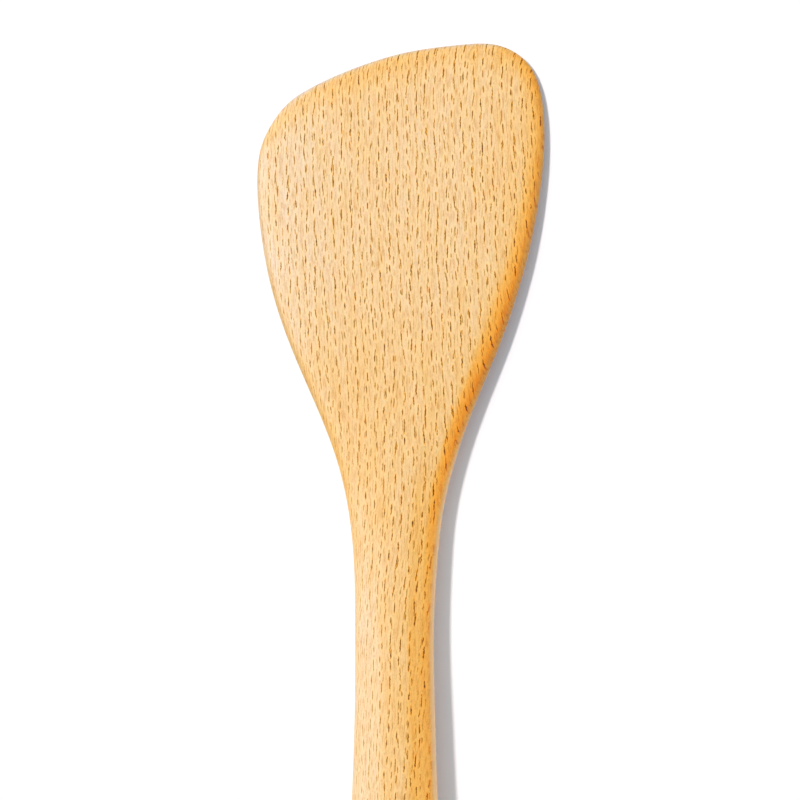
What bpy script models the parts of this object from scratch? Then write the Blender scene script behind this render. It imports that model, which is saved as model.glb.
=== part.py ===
"""A sauce spoon carved from one piece of beech, at its real size in metres, +Z up.

The spoon lies on its flat back with its face up, and +Y runs from the butt of the handle to the tip.
The origin is the bottom centre of its box. The real spoon is sawn to its outline from a board, planed
thinner towards the tip on the face side, and its whole rim is then rounded over. The solid is made the
same way: a plan outline, a thickness that changes along the length, and one rounded edge section.
"""

import math

import bmesh
import bpy
import numpy as np
from mathutils import Vector
from mathutils.geometry import interpolate_bezier

MM = 0.001

# Plan sizes. Reaches are measured sideways from the middle line of the handle, insets sideways from a
# reach, and drops down from the tip, so the blade keeps its shape when the handle is made longer.
LENGTH = 305 * MM
BLADE_LEFT_REACH = 30.7 * MM
BLADE_RIGHT_REACH = 33.3 * MM
LEFT_REACH_DROP = 30.5 * MM
RIGHT_REACH_DROP = 19.5 * MM
TIP_INSET = 12.5 * MM
CORNER_INSET = 4.8 * MM
CORNER_DROP = 3.4 * MM
SLANT_INSET = 18.0 * MM
SLANT_DROP = 6.9 * MM
SLANT_ANGLE = 23.0
SHOULDER_INSET = 6.4 * MM
SHOULDER_DROP = 13.8 * MM
ROOT_WIDTH = 36.2 * MM
ROOT_DROP = 79.6 * MM
ROOT_FLARE = 24.0
SWEEP_WIDTH = 20.2 * MM
SWEEP_DROP = 106 * MM
SWEEP_FLARE = 8.0
NECK_WIDTH = 17.2 * MM
NECK_DROP = 142 * MM

# The handle's lower end, measured up from the butt.
GRIP_WIDTH = 25 * MM
GRIP_RISE = 58 * MM
BUTT_WIDTH = 22 * MM
BUTT_RISE = 12 * MM
BUTT_FLARE = 4.0

# Thickness of the wood at places down from the tip, at the grip and at the butt.
TIP_THICKNESS = 2.0 * MM
BLADE_THICKNESS = 4.8 * MM
BLADE_DROP = 22 * MM
BELLY_THICKNESS = 7.0 * MM
BELLY_DROP = 50 * MM
ROOT_THICKNESS = 8.6 * MM
SWEEP_THICKNESS = 10.0 * MM
NECK_THICKNESS = 12.2 * MM
GRIP_THICKNESS = 16.0 * MM
BUTT_THICKNESS = 14.0 * MM

# The rounding of the rim: how far it reaches in from the outline, how square its section is (2 would be
# an ellipse), and how sharply it gives way where the handle is too narrow for the full reach.
EDGE_ROUND = 10 * MM
EDGE_SQUARENESS = 3.0
EDGE_GIVE = 4.0

# Fineness of the faceted skin: steps from knot to knot, over the rounding, and across the flat inside it.
KNOT_STEPS = 10
ROUND_STEPS = 7
FLAT_STEPS = 3

BEECH_COLOUR = (0.93, 0.62, 0.33, 1.0)
BEECH_ROUGHNESS = 0.5


def clear_scene():
    """Remove every object and all loose meshes, materials and collections."""
    for item in list(bpy.data.objects):
        bpy.data.objects.remove(item, do_unlink=True)
    for pool in (bpy.data.meshes, bpy.data.materials, bpy.data.collections):
        for item in list(pool):
            pool.remove(item)


def handle_knots():
    """Knots (x, y, heading in degrees) of the handle's right side, from the butt up to the blade's root."""
    return [
        (BUTT_WIDTH / 2, BUTT_RISE, 90 - BUTT_FLARE),
        (GRIP_WIDTH / 2, GRIP_RISE, 90),
        (NECK_WIDTH / 2, LENGTH - NECK_DROP, 90),
        (SWEEP_WIDTH / 2, LENGTH - SWEEP_DROP, 90 - SWEEP_FLARE),
        (ROOT_WIDTH / 2, LENGTH - ROOT_DROP, 90 - ROOT_FLARE),
    ]


def blade_knots():
    """Knots of the blade's rim, from its widest place on the right over the tip to that on the left."""
    return [
        (BLADE_RIGHT_REACH, LENGTH - RIGHT_REACH_DROP, 90),
        (BLADE_RIGHT_REACH - CORNER_INSET, LENGTH - CORNER_DROP, 135),
        (BLADE_RIGHT_REACH - TIP_INSET, LENGTH, 180),
        (SLANT_INSET - BLADE_LEFT_REACH, LENGTH - SLANT_DROP, 180 + SLANT_ANGLE),
        (SHOULDER_INSET - BLADE_LEFT_REACH, LENGTH - SHOULDER_DROP, 225),
        (-BLADE_LEFT_REACH, LENGTH - LEFT_REACH_DROP, 270),
    ]


def rim_points():
    """Points round the plan outline, from the middle of the butt up the right side and down the left.

    Each Bezier handle has the length that makes a circular arc of the turn between its two headings.
    """
    right = handle_knots()
    left = [(-x, y, 360 - heading) for x, y, heading in reversed(right)]
    knots = [(0, 0, 0)] + right + blade_knots() + left + [(0, 0, 360)]
    points = []
    for (x0, y0, heading0), (x1, y1, heading1) in zip(knots, knots[1:]):
        start, end = Vector((x0, y0, 0)), Vector((x1, y1, 0))
        turn = math.radians(heading1 - heading0)
        share = 2 / 3 * math.tan(turn / 4) / math.sin(turn / 2) if abs(turn) > 1e-6 else 1 / 3
        handle = share * (end - start).length
        leave = handle * Vector((math.cos(math.radians(heading0)), math.sin(math.radians(heading0)), 0))
        arrive = handle * Vector((math.cos(math.radians(heading1)), math.sin(math.radians(heading1)), 0))
        points += interpolate_bezier(start, start + leave, end - arrive, end, KNOT_STEPS + 1)[:-1]
    return points


def middle_points(rim):
    """The point of the middle line that the section at each rim point runs to.

    Along the handle and blade the two sides share the middle between them. The sections round the butt
    and round the tip all run to the first or the last of these middles.
    """
    first = KNOT_STEPS
    last = first + len(handle_knots()) * KNOT_STEPS
    middles = []
    for index in range(len(rim)):
        from_butt = min(index, len(rim) - index)
        mate = min(max(from_butt, first), last)
        middles.append((rim[mate] + rim[len(rim) - mate]) / 2)
    return middles


def thickness_at(y):
    """Thickness of the wood at y, on a smooth curve through the named places."""
    places, values = np.array([
        (0, BUTT_THICKNESS),
        (GRIP_RISE, GRIP_THICKNESS),
        (LENGTH - NECK_DROP, NECK_THICKNESS),
        (LENGTH - SWEEP_DROP, SWEEP_THICKNESS),
        (LENGTH - ROOT_DROP, ROOT_THICKNESS),
        (LENGTH - BELLY_DROP, BELLY_THICKNESS),
        (LENGTH - BLADE_DROP, BLADE_THICKNESS),
        (LENGTH, TIP_THICKNESS),
    ]).T
    slopes = np.gradient(values, places)
    slopes[1] = 0
    low = min(max(int(np.searchsorted(places, y)) - 1, 0), len(places) - 2)
    span = places[low + 1] - places[low]
    t = (y - places[low]) / span
    return (
        (1 + 2 * t) * (1 - t) ** 2 * values[low] + t * (1 - t) ** 2 * span * slopes[low]
        + t * t * (3 - 2 * t) * values[low + 1] - t * t * (1 - t) * span * slopes[low + 1]
    )


def section_steps(width):
    """(distance in from the rim, share of full thickness) from the middle out to the rim."""
    reach = (width ** -EDGE_GIVE + EDGE_ROUND ** -EDGE_GIVE) ** (-1 / EDGE_GIVE)
    flat = [(width + (reach - width) * step / FLAT_STEPS, 1.0) for step in range(FLAT_STEPS)]
    rounded = []
    for step in range(ROUND_STEPS + 1):
        angle = math.pi / 2 * (1 - step / ROUND_STEPS)
        out = math.cos(angle) ** (2 / EDGE_SQUARENESS) if step else 0.0
        rounded.append((reach * (1 - out), math.sin(angle)))
    return flat + rounded


def carve_spoon():
    """The closed skin of the spoon: a grid wrapped from the middle of the face round the rim to the back."""
    rim = rim_points()
    middles = middle_points(rim)
    rows = 2 * (FLAT_STEPS + ROUND_STEPS)
    skin = bmesh.new()
    bmesh.ops.create_grid(skin, x_segments=len(rim), y_segments=rows, size=1)
    for vert in skin.verts:
        column = round((vert.co.x + 1) / 2 * len(rim)) % len(rim)
        row = round((1 - vert.co.y) / 2 * rows)
        edge, middle = rim[column], middles[column]
        width = (middle - edge).length
        inward, share = section_steps(width)[min(row, rows - row)]
        place = edge.lerp(middle, inward / width)
        side = 1 if row < rows / 2 else -1
        place.z = thickness_at(place.y) / 2 * (1 + side * share)
        vert.co = place
    bmesh.ops.remove_doubles(skin, verts=skin.verts, dist=0.001 * MM)
    bmesh.ops.dissolve_degenerate(skin, edges=skin.edges, dist=0.001 * MM)
    centre = Vector(((BLADE_RIGHT_REACH - BLADE_LEFT_REACH) / 2, LENGTH / 2, 0))
    bmesh.ops.translate(skin, verts=skin.verts, vec=-centre)
    bmesh.ops.recalc_face_normals(skin, faces=skin.faces)
    return skin


def beech():
    """Plain oiled beech."""
    material = bpy.data.materials.new("beech")
    material.use_nodes = True
    shader = material.node_tree.nodes["Principled BSDF"]
    shader.inputs["Base Color"].default_value = BEECH_COLOUR
    shader.inputs["Roughness"].default_value = BEECH_ROUGHNESS
    material.diffuse_color = BEECH_COLOUR
    return material


def build():
    """Build the spoon in a collection of its own."""
    clear_scene()
    home = bpy.data.collections.new("sauce_spoon")
    bpy.context.scene.collection.children.link(home)
    skin = carve_spoon()
    mesh = bpy.data.meshes.new("spoon")
    skin.to_mesh(mesh)
    skin.free()
    mesh.materials.append(beech())
    mesh.shade_smooth()
    home.objects.link(bpy.data.objects.new("spoon", mesh))


build()
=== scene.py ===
import math

import bmesh
import bpy
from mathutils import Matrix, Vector


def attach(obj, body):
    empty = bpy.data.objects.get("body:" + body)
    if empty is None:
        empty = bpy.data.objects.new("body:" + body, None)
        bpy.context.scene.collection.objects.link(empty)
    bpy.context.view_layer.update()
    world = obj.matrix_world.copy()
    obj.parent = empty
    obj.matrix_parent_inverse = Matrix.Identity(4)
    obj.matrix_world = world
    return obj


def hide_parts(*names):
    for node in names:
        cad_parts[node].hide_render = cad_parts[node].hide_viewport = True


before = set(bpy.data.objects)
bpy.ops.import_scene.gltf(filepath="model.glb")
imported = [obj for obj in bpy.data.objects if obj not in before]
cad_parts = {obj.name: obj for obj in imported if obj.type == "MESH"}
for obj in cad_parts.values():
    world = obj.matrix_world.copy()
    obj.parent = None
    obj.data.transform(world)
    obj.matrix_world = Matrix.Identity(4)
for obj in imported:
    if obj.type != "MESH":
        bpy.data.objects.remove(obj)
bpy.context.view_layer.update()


# The spoon's body.
# The real spoon is one piece of beech, sawn to its outline from a board, planed thinner towards the tip
# on its face side, and sanded round the whole rim. It is drawn as cross-sections, each pulled out of the
# one before it, from the butt of the handle to the tip of the blade, and then smoothed.

MM = 0.001
BUTT = Vector((-1.3, -152.5, 0)) * MM  # the handle's middle line, at the end of the handle

# Left rim (x, y), right rim (x, y) and thickness, in mm from BUTT. Sections of the blade are turned,
# because its left side is shorter than its right side.
SECTIONS = [
    ((-3.1, 0.4), (3.1, 0.4), 8.5),
    ((-6.9, 2.4), (6.9, 2.4), 11.6),
    ((-10.4, 6.5), (10.4, 6.5), 13.8),
    ((-11.6, 13.0), (11.6, 13.0), 14.4),
    ((-12.3, 28.0), (12.3, 28.0), 15.2),
    ((-13.2, 58.0), (13.2, 58.0), 16.0),
    ((-11.9, 95.0), (11.9, 95.0), 15.4),
    ((-10.1, 130.0), (9.8, 130.0), 13.9),
    ((-9.0, 156.0), (9.1, 156.0), 12.6),
    ((-9.1, 174.0), (8.6, 174.0), 11.6),
    ((-9.1, 189.0), (9.5, 189.0), 10.6),
    ((-10.4, 201.0), (10.7, 201.0), 9.9),
    ((-12.7, 211.0), (13.3, 211.0), 9.4),
    ((-16.0, 220.0), (16.3, 220.0), 8.9),
    ((-20.0, 229.0), (20.0, 229.0), 8.4),
    ((-23.9, 238.0), (24.2, 238.8), 7.9),
    ((-27.2, 247.4), (27.8, 249.6), 7.4),
    ((-29.3, 256.5), (30.7, 260.2), 6.8),
    ((-30.6, 265.5), (32.6, 270.9), 6.1),
    ((-31.2, 274.0), (33.7, 281.0), 5.3),
    ((-30.6, 281.8), (33.6, 290.0), 4.5),
    ((-27.5, 287.6), (32.3, 297.1), 3.7),
    ((-24.1, 291.8), (29.2, 301.8), 2.4),
]
TIP_ARCH = (2.8, 5.55, 6.65, 6.35, 5.1)  # how far the inner columns of the last section arch up, in mm
ARCH_SHARES = (0.12, 0.18, 0.30, 0.40)  # and how much of it each of the last four sections adds
NOSE = 0.6 * MM  # how far the middle of the two end faces stands out

# The vertices of a section stand in columns from rim to rim, and in rows from the back to the face. From
# the rim in, these pairs of columns stand at this share of half the width, or at this distance where the
# blade is wider.
COLUMNS, ROWS = 7, 3
RIM, CROWN, SHOULDER = (0, 6), (1, 5), (2, 4)
INSETS = {RIM: (1 / 12, 1.0 * MM), CROWN: (1 / 2, 6.5 * MM), SHOULDER: (2 / 3, 15.0 * MM)}
RIM_HEIGHT = 0.72  # of the thickness, the height of the rim's band between its upper and lower corner
DROPS = {CROWN: 0.065, SHOULDER: 0.015}  # of the thickness, how far the face falls off at these columns


def select_only(verts):
    """Select just these vertices of the cage."""
    chosen = set(verts)
    for vert in cage.verts:
        vert.select_set(vert in chosen)
    cage.select_flush_mode()
    bmesh.update_edit_mesh(spoon.data)


def selected_columns():
    """The selected vertices of a section, as columns from left to right, each from the back to the face."""
    verts = sorted((vert for vert in cage.verts if vert.select), key=lambda vert: vert.co.x)
    columns = [verts[start:start + ROWS] for start in range(0, len(verts), ROWS)]
    return [sorted(column, key=lambda vert: vert.co.z) for column in columns]


def section_place(section):
    """Middle, width, thickness and turn of a section."""
    (left_x, left_y), (right_x, right_y), thickness = section
    left, right = Vector((left_x, left_y, 0)) * MM, Vector((right_x, right_y, 0)) * MM
    over = right - left
    return BUTT + (left + right) / 2, over.length, thickness * MM, math.atan2(over.y, over.x)


def set_insets(columns, middle, width):
    """Bring the pairs of columns of a section to their distances from the rim."""
    for pair, (share, most) in INSETS.items():
        verts = columns[pair[0]] + columns[pair[1]]
        if pair == RIM:  # its middle row stays on the outline
            verts = [columns[side][row] for side in RIM for row in (0, 2)]
        now = (verts[-1].co - middle).to_2d().length
        scale = (width / 2 - min(share * width / 2, most)) / now
        select_only(verts)
        bpy.ops.transform.resize(value=(scale, scale, 1), center_override=middle)


# The end face of the butt: an upright grid, with its rim drawn in and its upper corners lowered.
bpy.ops.object.select_all(action="DESELECT")
middle, width, thickness, turn = section_place(SECTIONS[0])
half_up = Vector((0, 0, thickness / 2))
bpy.ops.mesh.primitive_grid_add(
    x_subdivisions=COLUMNS - 1, y_subdivisions=ROWS - 1, size=1,
    rotation=(math.pi / 2, 0, 0), location=middle + half_up,
)
spoon = bpy.context.object
spoon.name = spoon.data.name = "beech_spoon"
spoon.scale = (width, thickness, 1)
bpy.ops.object.transform_apply(location=True, rotation=True, scale=True)
bpy.ops.object.mode_set(mode="EDIT")
bpy.ops.mesh.select_mode(type="VERT")
bpy.ops.mesh.select_all(action="SELECT")
cage = bmesh.from_edit_mesh(spoon.data)

butt_face = selected_columns()
select_only(butt_face[0] + butt_face[-1])
bpy.ops.transform.resize(value=(1, 1, RIM_HEIGHT), center_override=middle + half_up)
for pair, drop in DROPS.items():
    select_only([butt_face[column][2] for column in pair])
    bpy.ops.transform.translate(value=(0, 0, -drop * thickness))
set_insets(butt_face, middle, width)
select_only(sum(butt_face, []))

# Each further section is pulled out of the last one, and brought to its own size and turn.
for number, section in enumerate(SECTIONS[1:], start=1):
    old_middle, old_width, old_thickness, old_turn = middle, width, thickness, turn
    middle, width, thickness, turn = section_place(section)
    wider, thicker = width / old_width, thickness / old_thickness
    bpy.ops.mesh.extrude_region_move(TRANSFORM_OT_translate={"value": middle - old_middle})
    bpy.ops.transform.resize(value=(wider, wider, thicker), center_override=middle)
    if turn != old_turn:
        bpy.ops.transform.rotate(value=old_turn - turn, orient_axis="Z", center_override=middle)
    tip_face = selected_columns()
    set_insets(tip_face, middle, width)
    step = number - (len(SECTIONS) - len(ARCH_SHARES))
    if step >= 0:
        for column, arch in zip(tip_face[1:-1], TIP_ARCH):
            select_only(column)
            bpy.ops.transform.translate(value=(0, arch * ARCH_SHARES[step] * MM, 0))
    select_only(sum(tip_face, []))

for face, way in ((tip_face, NOSE), (butt_face, -NOSE)):
    select_only([column[1] for column in face])
    bpy.ops.transform.translate(value=(0, way, 0))
bpy.ops.mesh.select_all(action="SELECT")
bpy.ops.mesh.normals_make_consistent(inside=False)
bpy.ops.object.mode_set(mode="OBJECT")
smoothing = spoon.modifiers.new("smoothing", "SUBSURF")
smoothing.levels = smoothing.render_levels = 3
bpy.ops.object.modifier_apply(modifier=smoothing.name)
bpy.ops.object.shade_smooth()

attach(spoon, "root")
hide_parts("spoon")


# The spoon's beech.
# Steamed European beech, sanded fine and wiped with oil: a pale pinkish honey colour with a faint satin
# sheen. Its broad rays run from the pith to the bark as thin upright plates, and where the face cuts
# them end on they show as short dark flecks along the grain.

beech = bpy.data.materials.new("oiled_beech")
beech.use_nodes = True
beech.node_tree.nodes.clear()


def srgb(colour):
    """A hex colour such as F9CE98 as linear red, green, blue and alpha."""
    values = [int(colour[at:at + 2], 16) / 255 for at in (0, 2, 4)]
    return tuple(v / 12.92 if v <= 0.04045 else ((v + 0.055) / 1.055) ** 2.4 for v in values) + (1.0,)


def add(material, kind, *inputs, named=None, **settings):
    """Add a node of this kind, with its settings, and return the first of its outputs that is in use.

    Its inputs are listed from the top, or named. Each is a value, or the output of another node.
    """
    node = material.node_tree.nodes.new("ShaderNode" + kind)
    for name, value in settings.items():
        setattr(node, name, value)
    filled = list(zip((end for end in node.inputs if end.enabled), inputs))
    filled += [(node.inputs[name], value) for name, value in (named or {}).items()]
    for end, value in filled:
        if isinstance(value, bpy.types.NodeSocket):
            material.node_tree.links.new(value, end)
        else:
            end.default_value = value
    return next((end for end in node.outputs if end.enabled), None)


def graded(base, *patches):
    """A base amount with patches laid over it.

    A patch is the amount that it adds, and its ranges. Each range is a measure, the value at which the
    patch starts to show, and the value at which it is there in full.
    """
    for amount, *ranges in patches:
        for measure, start, full in ranges:
            shown = add(beech, "MapRange", measure, start, full, 0.0, 1.0, interpolation_type="SMOOTHSTEP")
            amount = add(beech, "Math", shown, amount, operation="MULTIPLY")
        base = add(beech, "Math", base, amount, operation="ADD")
    return base


def figure(place, size, detail):
    """An unevenness of the wood, with features of this size in mm along each axis of the place."""
    scaled = add(beech, "VectorMath", place, size, operation="DIVIDE")
    return add(beech, "TexNoise", named={"Vector": scaled, "Scale": 1.0, "Detail": detail})


RAY_TILT = math.radians(34)  # the board was cut this far off the tangent to its rings
PLATE_NORMAL = (math.cos(RAY_TILT), 0, math.sin(RAY_TILT))  # square to the ray plates

# Places in mm. On the spoon they are counted to the right and to the tip from the middle of its back, and
# in the board straight across the ray plates, along the grain, and from the pith outwards.
coordinates = add(beech, "TexCoord").node.outputs
on_spoon = add(beech, "VectorMath", coordinates["Object"], (1000, 1000, 1000), operation="MULTIPLY")
to_right, to_tip, _ = add(beech, "SeparateXYZ", on_spoon).node.outputs
in_board = add(beech, "Mapping", named={"Vector": on_spoon, "Rotation": (0, RAY_TILT, 0)})
straight, along, radial = add(beech, "SeparateXYZ", in_board).node.outputs

# The fibres lean to the left up the blade and to the right up the neck, and waver a little on the way.
# Pores and fibres of beech are under 0.1 mm wide, and are drawn about twice as coarse, so that they show.
GRAIN_SLOPE = 0.061  # how steeply they lean at both ends of the spoon
NECK_BEND = -6.4  # how far they are carried over from the neck to the blade, in mm
WAVER, RIPPLE, RAGGEDNESS = 1.1, 0.25, 0.22  # how far the unevenness of the wood moves them, in mm
waver = figure(in_board, (14, 24, 30), 1.0)
ripple = figure(in_board, (2.6, 3.4, 6), 1.0)
pores = figure(in_board, (0.2, 0.5, 0.4), 0.0)
across = straight
for measure, share in ((along, GRAIN_SLOPE), (waver, WAVER), (ripple, RIPPLE), (pores, RAGGEDNESS)):
    across = add(beech, "Math", measure, share, across, operation="MULTIPLY_ADD")
across = graded(across, (NECK_BEND, (along, -27, 82)))
in_grain = add(beech, "CombineXYZ", across, along, radial)
on_face = add(beech, "CombineXYZ", across, along, 0.0)

# How nearly the surface lies along the ray plates: 0 where it cuts them square, 1 where it lies along one.
flat_on = add(beech, "VectorMath", coordinates["Normal"], PLATE_NORMAL, operation="DOT_PRODUCT")
narrowing = graded(1.0, (-0.2, (flat_on, 0.70, 0.90)))

# The flecks stand one to a cell, and the cells in columns.
COLUMN_STEP, COLUMN_SWAY = 0.5, 0.2  # of a cell, how far each column is shifted on, and how unevenly
SWAY_TURN = 7.1  # radians from column to column, so that columns near each other sway differently
STRAY = (0.36, 0.30)  # of a cell, how far a fleck's place varies, from side to side and along
LEAN = 0.14  # how far its slope to the grain varies
SHORTEST = 0.4  # of the longest, the length of the shortest
BLUNTNESS = 3.0  # of its two ends, where 1 is a plain diamond
REDRAW = 23.7  # the chances times this leave over new chances
EDGES = ((5.0, 0.0), (1.6, 1.35), (0.5, 3.0))  # steepness and height of the core, the halo and the border


def ray_flecks(seed, wide, tall, half_width, half_length, faintest):
    """Spindle-shaped flecks, one to a cell of wide by tall mm, as the strength of core, halo and border.

    Every fleck has its own place in its cell and its own length, lean and strength.
    """
    # The cell, and its chances.
    in_columns = add(beech, "VectorMath", on_face, (wide, tall, 1.0), operation="DIVIDE")
    column = add(beech, "Math", add(beech, "SeparateXYZ", in_columns), operation="FLOOR")
    sway = add(beech, "Math", column, SWAY_TURN, operation="MULTIPLY")
    sway = add(beech, "Math", sway, operation="SINE")
    sway = add(beech, "Math", sway, COLUMN_SWAY, operation="MULTIPLY")
    shift = add(beech, "Math", column, COLUMN_STEP, sway, operation="MULTIPLY_ADD")
    shift = add(beech, "CombineXYZ", 0.0, shift, seed)
    in_cells = add(beech, "VectorMath", in_columns, shift, operation="ADD")
    cell = add(beech, "VectorMath", in_cells, operation="FLOOR")
    chances = add(beech, "TexWhiteNoise", cell).node.outputs["Color"]
    redrawn = add(beech, "VectorMath", chances, (REDRAW, REDRAW, REDRAW), operation="MULTIPLY")
    redrawn = add(beech, "VectorMath", redrawn, operation="FRACTION")
    lean_chance, length_chance, _ = add(beech, "SeparateXYZ", redrawn).node.outputs
    strength_chance = add(beech, "SeparateColor", chances).node.outputs["Blue"]

    # How far the place is from the fleck's middle, to the side and up, in mm.
    from_middle = add(beech, "VectorMath", in_cells, operation="FRACTION")
    from_middle = add(beech, "VectorMath", from_middle, (0.5, 0.5, 0.5), operation="SUBTRACT")
    from_middle = add(beech, "VectorMath", from_middle, (wide, tall, 0.0), operation="MULTIPLY")
    stray = add(beech, "VectorMath", chances, (0.5, 0.5, 0.5), operation="SUBTRACT")
    reach = (STRAY[0] * wide, STRAY[1] * tall, 0.0)
    from_middle = add(beech, "VectorMath", stray, reach, from_middle, operation="MULTIPLY_ADD")
    side, up, _ = add(beech, "SeparateXYZ", from_middle).node.outputs
    lean = add(beech, "Math", lean_chance, LEAN, -LEAN / 2, operation="MULTIPLY_ADD")
    side = add(beech, "Math", up, lean, side, operation="MULTIPLY_ADD")
    side = add(beech, "Math", side, operation="ABSOLUTE")

    # The spindle: 1 in its middle, 0 at its edge, and less outside.
    lengthening, shortest = (1 - SHORTEST) * half_length, SHORTEST * half_length
    length = add(beech, "Math", length_chance, lengthening, shortest, operation="MULTIPLY_ADD")
    up = add(beech, "Math", up, length, operation="DIVIDE")
    up = add(beech, "Math", up, operation="ABSOLUTE")
    up = add(beech, "Math", up, BLUNTNESS, operation="POWER")
    narrowed = add(beech, "Math", narrowing, half_width, operation="MULTIPLY")
    side = add(beech, "Math", side, narrowed, operation="DIVIDE")
    outwards = add(beech, "Math", side, up, operation="ADD")
    spindle = add(beech, "Math", 1.0, outwards, operation="SUBTRACT")

    strength = add(beech, "Math", strength_chance, 1 - faintest, faintest, operation="MULTIPLY_ADD")
    parts = []
    for steepness, height in EDGES:
        part = add(beech, "Math", spindle, steepness, height, operation="MULTIPLY_ADD", use_clamp=True)
        parts.append(add(beech, "Math", part, strength, operation="MULTIPLY"))
    return parts


broad_core, broad_halo, broad_border = ray_flecks(
    seed=1.0, wide=1.75, tall=3.3, half_width=0.088, half_length=1.8, faintest=0.6)
faint_core, faint_halo, faint_border = ray_flecks(
    seed=2.0, wide=1.2, tall=2.7, half_width=0.075, half_length=1.4, faintest=0.0)

# The ground: pinkish and yellowish streaks of fibres, fine darker fibres, and single pores.
PINKISH, YELLOWISH, FIBRE, PORE = srgb("F4D8AF"), srgb("F4CD8E"), srgb("CE9040"), srgb("C0935C")
streaks = figure(in_grain, (1.5, 11, 4), 2.0)
fibres = figure(in_grain, (0.15, 2.6, 0.8), 0.0)
ground = PINKISH
for pattern, level, strength, colour in (
    (streaks, 0.25, 2.0, YELLOWISH),
    (fibres, 0.46, 2.0, FIBRE),
    (pores, 0.45, 0.7, PORE),
):
    above = add(beech, "Math", pattern, level, operation="SUBTRACT")
    share = add(beech, "Math", above, strength, operation="MULTIPLY", use_clamp=True)
    ground = add(beech, "Mix", share, ground, colour, data_type="RGBA")

# A fleck is a dark core in an amber halo with a pale border. Cut square across, the rays are thin and faint.
# Where the surface lies along a plate, the fleck is a broad patch of it, paler and soon lost.
PALE, AMBER, DARK, FLAKE = srgb("FFE2AC"), srgb("F6AE00"), srgb("481A00"), srgb("A8620C")
BORDER_STRENGTH, FAINT_STRENGTH, BROAD_STRENGTH = 0.4, 0.7, 1.0
ray_colour = add(beech, "Mix", graded(0.0, (1.0, (flat_on, 0.84, 0.95))), DARK, FLAKE, data_type="RGBA")
visible = graded(1.0, (-0.5, (flat_on, 0.48, 0.15)), (-0.6, (flat_on, 0.88, 0.98)))
border = add(beech, "Math", faint_border, broad_border, operation="MAXIMUM")
border = add(beech, "Math", border, BORDER_STRENGTH, operation="MULTIPLY")
flecked = add(beech, "Mix", border, ground, PALE, data_type="RGBA")
for core, halo, strength in (
    (faint_core, faint_halo, FAINT_STRENGTH),
    (broad_core, broad_halo, BROAD_STRENGTH),
):
    strength = add(beech, "Math", visible, strength, operation="MULTIPLY")
    for part, colour in ((halo, AMBER), (core, ray_colour)):
        share = add(beech, "Math", part, strength, operation="MULTIPLY")
        flecked = add(beech, "Mix", share, flecked, colour, data_type="RGBA")

# Painted shade, with some of the wood's own tone: the colour deepens to orange on slopes that turn from the
# lamp, most of all on the right rim, which is also the side of the squared corner, and on slopes that face
# the butt or the neck, and it is paler on the left, which faces the lamp. Along the spoon it deepens from
# the blade down to the handle, and it deepens round the rim of the tip.
SHADE_AND_TONE = (1.02, 0.78, 0.35)  # what a full measure of it does to red, green and blue
NECK_SIDE = (0.6, -0.8, 0.0)  # the way that the rim faces where the blade draws in to the neck
faces_right, faces_tip, _ = add(beech, "SeparateXYZ", coordinates["Normal"]).node.outputs
faces_neck = add(beech, "VectorMath", coordinates["Normal"], NECK_SIDE, operation="DOT_PRODUCT")
shade_and_tone = graded(
    0.0,
    # the right rim, less on the outside of it
    (1.0, (faces_right, 0.04, 0.45)),
    (-0.3, (faces_right, 0.55, 1.0)),
    # the left rim, with a painted highlight between its two edges
    (0.08, (faces_right, 0.0, -0.08)),
    (-0.14, (faces_right, -0.12, -0.35)),
    (0.1, (faces_right, -0.5, -0.85)),
    # slopes that face the butt, the rim of the tip, and less on the outside of that
    (0.45, (faces_tip, 0.0, -0.3)),
    (0.35, (faces_tip, 0.09, 0.25)),
    (-0.7, (faces_tip, 0.35, 0.75)),
    # the rim where the blade draws in to the neck
    (0.3, (faces_neck, 0.2, 0.4)),
    # the right of the face, short of the very tip, less on its left, and more from the blade down
    (0.34, (to_right, 10, 34), (to_tip, 151, 138)),
    (-0.25, (to_right, -8, -26)),
    (0.20, (to_tip, 105, 70)),
    (0.12, (to_tip, 50, 10)),
    # less on the left of the neck and the handle
    (-0.45, (to_right, 0.0, -8.5), (to_tip, 55, 15)),
)
# Inside the right rim of the lower blade there is one more band of painted shade, which fades at both ends.
painted_shade_band_inside = graded(faces_right, (-0.17, (to_tip, 95, 35)))
painted_shade_band = graded(0.0, (0.95, (painted_shade_band_inside, 0.05, 0.15)), (-0.95, (faces_right, 0.4, 0.7)))
painted_shade_band_length = graded(0.0, (1.0, (to_tip, 20, 70)), (-0.8, (to_tip, 90, 135)))
shade_and_tone = add(beech, "Math", painted_shade_band, painted_shade_band_length, shade_and_tone, operation="MULTIPLY_ADD")
shade_and_tone_colour = add(beech, "CombineColor", *(add(beech, "Math", share, shade_and_tone, operation="POWER") for share in SHADE_AND_TONE))
wood_with_painted_light = add(beech, "Mix", 1.0, flecked, shade_and_tone_colour, data_type="RGBA", blend_type="MULTIPLY")

# Painted light on the right edge of the neck, which faces the white screen and floor: it is paler and
# pinker.
# Down the handle this fades out.
PAINTED_LIGHT_COLOUR = srgb("FECF98")
painted_light = graded(0.0, (0.8, (faces_right, 0.68, 0.92), (to_tip, 85, 50), (to_tip, -100, -20)))
wood_with_painted_light = add(beech, "Mix", painted_light, wood_with_painted_light, PAINTED_LIGHT_COLOUR, data_type="RGBA")

# Painted shade darkens the right rim of the blade and the rim of the tip, and a darker line runs along the
# left rim.
RIM_DARKENING = (0.78, 0.78, 0.78, 1)  # the light that they leave
side_rims_darkened = graded(
    0.0,
    (1.0, (faces_right, 0.20, 0.65), (to_tip, 55, 85)),
    (0.8, (faces_right, -0.5, -0.8), (to_tip, 45, 80)),
)
tip_rim_shade = graded(0.0, (0.8, (faces_tip, 0.35, 0.75)))
rim_darkening = add(beech, "Math", tip_rim_shade, side_rims_darkened, operation="MAXIMUM")
wood = add(beech, "Mix", rim_darkening, wood_with_painted_light, RIM_DARKENING, data_type="RGBA", blend_type="MULTIPLY")

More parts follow.
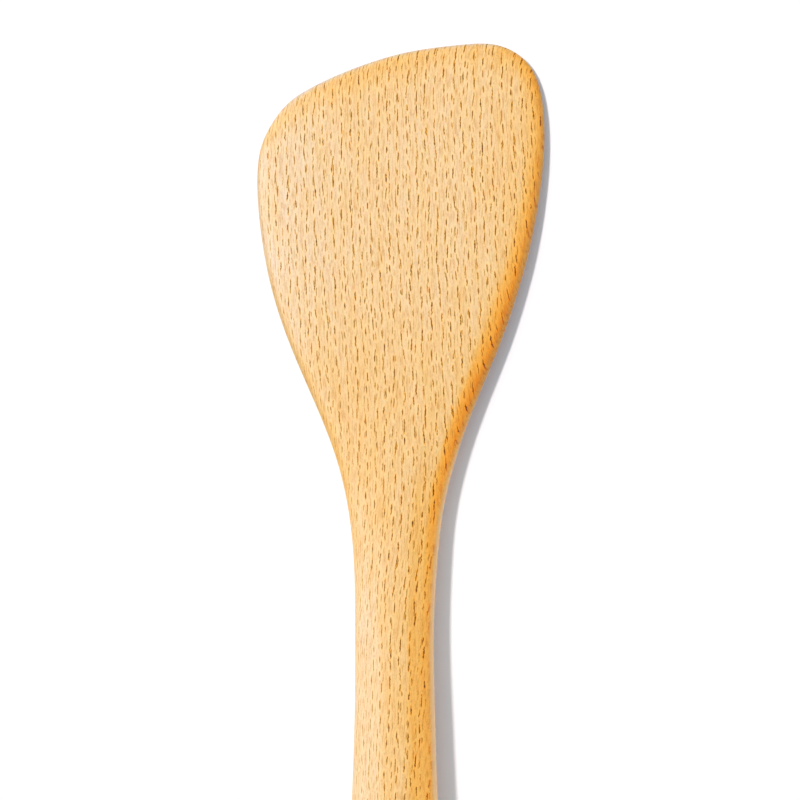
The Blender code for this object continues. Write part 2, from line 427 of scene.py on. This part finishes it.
# Light goes a fraction of a millimetre into the wood, red the furthest.
surface = add(beech, "BsdfPrincipled", named={
    "Base Color": wood, "Roughness": 0.52, "IOR": 1.45, "Specular IOR Level": 0.3,
    "Subsurface Weight": 0.25, "Subsurface Radius": (1.0, 0.35, 0.12), "Subsurface Scale": 0.8 * MM,
})
add(beech, "OutputMaterial", surface)
spoon.data.materials.clear()
spoon.data.materials.append(beech)


# The floor.
# A plain matt white table, large enough to run out of every view. It is lit as the spoon is, and a
# little of its own white fills it up to the white of the photograph, so that only the shadow shows.

FLOOR_WHITE = srgb("F8F7F8")
FLOOR_GLOW = srgb("355065")

bpy.ops.mesh.primitive_plane_add(size=6, location=(0, 0, 0))
floor = bpy.context.object
floor.name = floor.data.name = "white_table"
table = bpy.data.materials.new("matt_white")
table.use_nodes = True
table.node_tree.nodes.clear()
rays = add(table, "LightPath").node.outputs
seen = add(table, "Math", rays["Is Camera Ray"], rays["Is Glossy Ray"], operation="MAXIMUM")
paint = add(table, "BsdfDiffuse", FLOOR_WHITE)
glow = add(table, "Emission", FLOOR_GLOW, seen)
add(table, "OutputMaterial", add(table, "AddShader", paint, glow))
floor.data.materials.append(table)


# The light.
# One lamp from the left and a little from beyond the tip, small enough to leave a clear edge to the
# shadow, with the glow of its diffuser round it. A white screen stands low on the right, and an even
# white room fills the rest.

# Of the light on the open floor, what each of them gives.
LAMP_SHARE, DIFFUSER_SHARE, SCREEN_SHARE, ROOM_SHARE = 0.575, 0.185, 0.04, 0.225
LAMP_TINT, ROOM_TINT = (1.10, 1.00, 0.97), (0.85, 1.02, 1.06)  # the room is cooler, so shadows are grey
LAMP_WIDTH, DIFFUSER_WIDTH, SCREEN_WIDTH = math.radians(5), math.radians(44), math.radians(25)
LAMP_HEIGHT, SCREEN_HEIGHT = math.radians(61), math.radians(9)
LAMP_SIDE = math.radians(25)  # from due left, towards the tip

bpy.ops.object.light_add(type="SUN", location=(-0.5, 0.3, 0.8))
lamp = bpy.context.object
lamp.name = "studio_lamp"
to_lamp = Vector((
    -math.cos(LAMP_HEIGHT) * math.cos(LAMP_SIDE), math.cos(LAMP_HEIGHT) * math.sin(LAMP_SIDE),
    math.sin(LAMP_HEIGHT),
))
lamp.rotation_euler = to_lamp.to_track_quat("Z", "Y").to_euler()
lamp.data.energy = LAMP_SHARE * math.pi / math.sin(LAMP_HEIGHT)
lamp.data.color = LAMP_TINT
lamp.data.angle = LAMP_WIDTH

# The diffuser makes the shadow lighter towards its outer edge.
bpy.ops.object.light_add(type="SUN", location=(-0.5, 0.4, 0.8), rotation=lamp.rotation_euler)
diffuser = bpy.context.object
diffuser.name = "lamp_diffuser"
diffuser.data.energy = DIFFUSER_SHARE * math.pi / math.sin(LAMP_HEIGHT)
diffuser.data.angle = DIFFUSER_WIDTH

# The screen sends some light back onto the far rim.
bpy.ops.object.light_add(type="SUN", location=(0.5, 0, 0.2), rotation=(0, math.pi / 2 - SCREEN_HEIGHT, 0))
screen = bpy.context.object
screen.name = "white_screen"
screen.data.energy = SCREEN_SHARE * math.pi / math.sin(SCREEN_HEIGHT)
screen.data.angle = SCREEN_WIDTH

# The room is plain white where it is seen, and lights the spoon only as much as its share.
room = bpy.data.worlds.new("white_room")
bpy.context.scene.world = room
room.use_nodes = True
room.node_tree.nodes.clear()
rays = add(room, "LightPath").node.outputs
seen = add(room, "Math", rays["Is Camera Ray"], rays["Is Glossy Ray"], operation="MAXIMUM")
room_light = tuple(ROOM_SHARE * tint for tint in ROOM_TINT) + (1,)
air = add(room, "Mix", seen, room_light, srgb("FFFFFF"), data_type="RGBA")
add(room, "OutputWorld", add(room, "Background", air, 1.0))


# The camera.
# A long lens straight above the blade, with the tip near the top of the picture and the handle running
# out of it at the bottom.

PIXEL = 0.22307 * MM  # at the scale that makes the blade 64 mm wide
PICTURE_SIDE = 800 * PIXEL
PICTURE_MIDDLE = Vector((-0.19, 72.9, 1.3)) * MM
LENS, SENSOR = 120, 36  # focal length and width, in mm

bpy.ops.object.camera_add(rotation=(0, 0, 0))
camera = bpy.context.object
camera.name = "overhead_camera"
camera.data.lens = LENS
camera.data.sensor_width = SENSOR
camera.location = PICTURE_MIDDLE + Vector((0, 0, PICTURE_SIDE * LENS / SENSOR))
camera.data.clip_start, camera.data.clip_end = 0.01, 20
bpy.context.scene.camera = camera
bpy.context.scene.view_settings.view_transform = "Standard"
